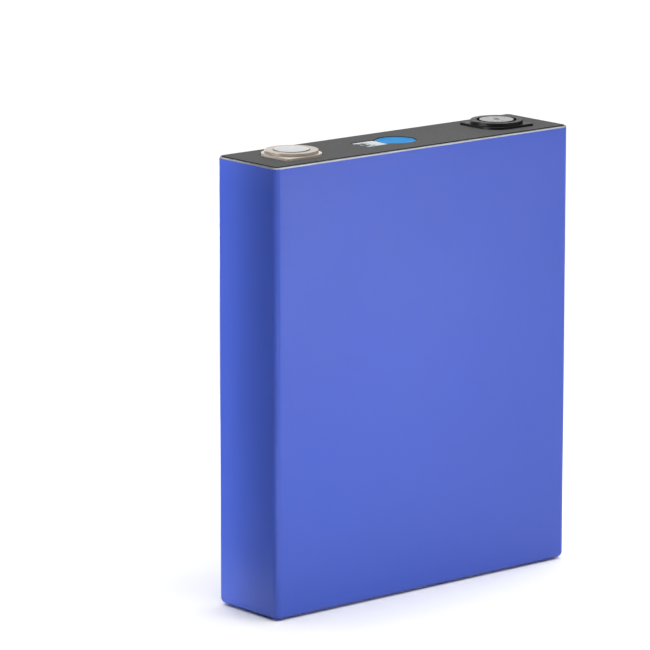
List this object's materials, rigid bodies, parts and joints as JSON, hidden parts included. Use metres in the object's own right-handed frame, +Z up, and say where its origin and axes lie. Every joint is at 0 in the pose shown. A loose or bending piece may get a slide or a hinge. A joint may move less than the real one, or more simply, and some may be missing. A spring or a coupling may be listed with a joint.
{
  "type": "prismatic battery cell",
  "caption": "Flat rectangular rechargeable cell in a blue film wrap, with round welding terminals and a burst vent on a grey-covered lid.",
  "frame": {"origin": "centre of the underside, on the sheet that closes the wrap", "axes": "+Z up through the lid, with +X from the positive terminal to the negative one; the large faces look along -Y (front) and +Y (rear)"},
  "size_m": [0.174, 0.0412, 0.2076],
  "materials": {
    "blue_film": "satin",
    "can_aluminium": "satin",
    "lid_aluminium": "satin",
    "terminal_aluminium": "satin",
    "contact_aluminium": "satin",
    "top_sheet": "matte",
    "vent_film": "gloss",
    "label": "matte",
    "black_plastic": "satin",
    "white_plastic": "satin",
    "seal_rubber": "matte",
    "copper": "satin",
    "cathode": "matte",
    "anode": "matte",
    "separator": "satin",
    "clear_film": "gloss",
    "tape": "satin"
  },
  "bodies": {
    "root": {"wrap_film": "blue_film", "bottom_film": "blue_film", "can": "can_aluminium", "lid": "lid_aluminium", "top_sheet": "top_sheet", "vent_disc": "lid_aluminium", "vent_film": "vent_film", "tracking_label": "label", "fill_plug": "seal_rubber", "fill_cap": "lid_aluminium", "positive_terminal_plate": "terminal_aluminium", "positive_terminal_ring": "terminal_aluminium", "positive_seal_ring": "seal_rubber", "positive_pole": "contact_aluminium", "negative_terminal_plate": "black_plastic", "negative_terminal_ring": "black_plastic", "negative_seal_ring": "seal_rubber", "negative_pole": "copper", "negative_contact_disc": "contact_aluminium", "positive_lower_insulator": "white_plastic", "negative_lower_insulator": "white_plastic", "vent_guard": "white_plastic", "positive_collector": "contact_aluminium", "negative_collector": "copper", "insulating_bag": "clear_film", "bottom_tray": "white_plastic", "front_core_inner_separator": "separator", "front_core_anode": "anode", "front_core_outer_separator": "separator", "front_core_cathode": "cathode", "front_core_positive_tabs": "contact_aluminium", "front_core_negative_tabs": "copper", "rear_core_inner_separator": "separator", "rear_core_anode": "anode", "rear_core_outer_separator": "separator", "rear_core_cathode": "cathode", "rear_core_positive_tabs": "contact_aluminium", "rear_core_negative_tabs": "copper", "upper_group_tape": "tape", "lower_group_tape": "tape", "positive_tab_tape": "tape", "negative_tab_tape": "tape"}
  },
  "joints": []
}
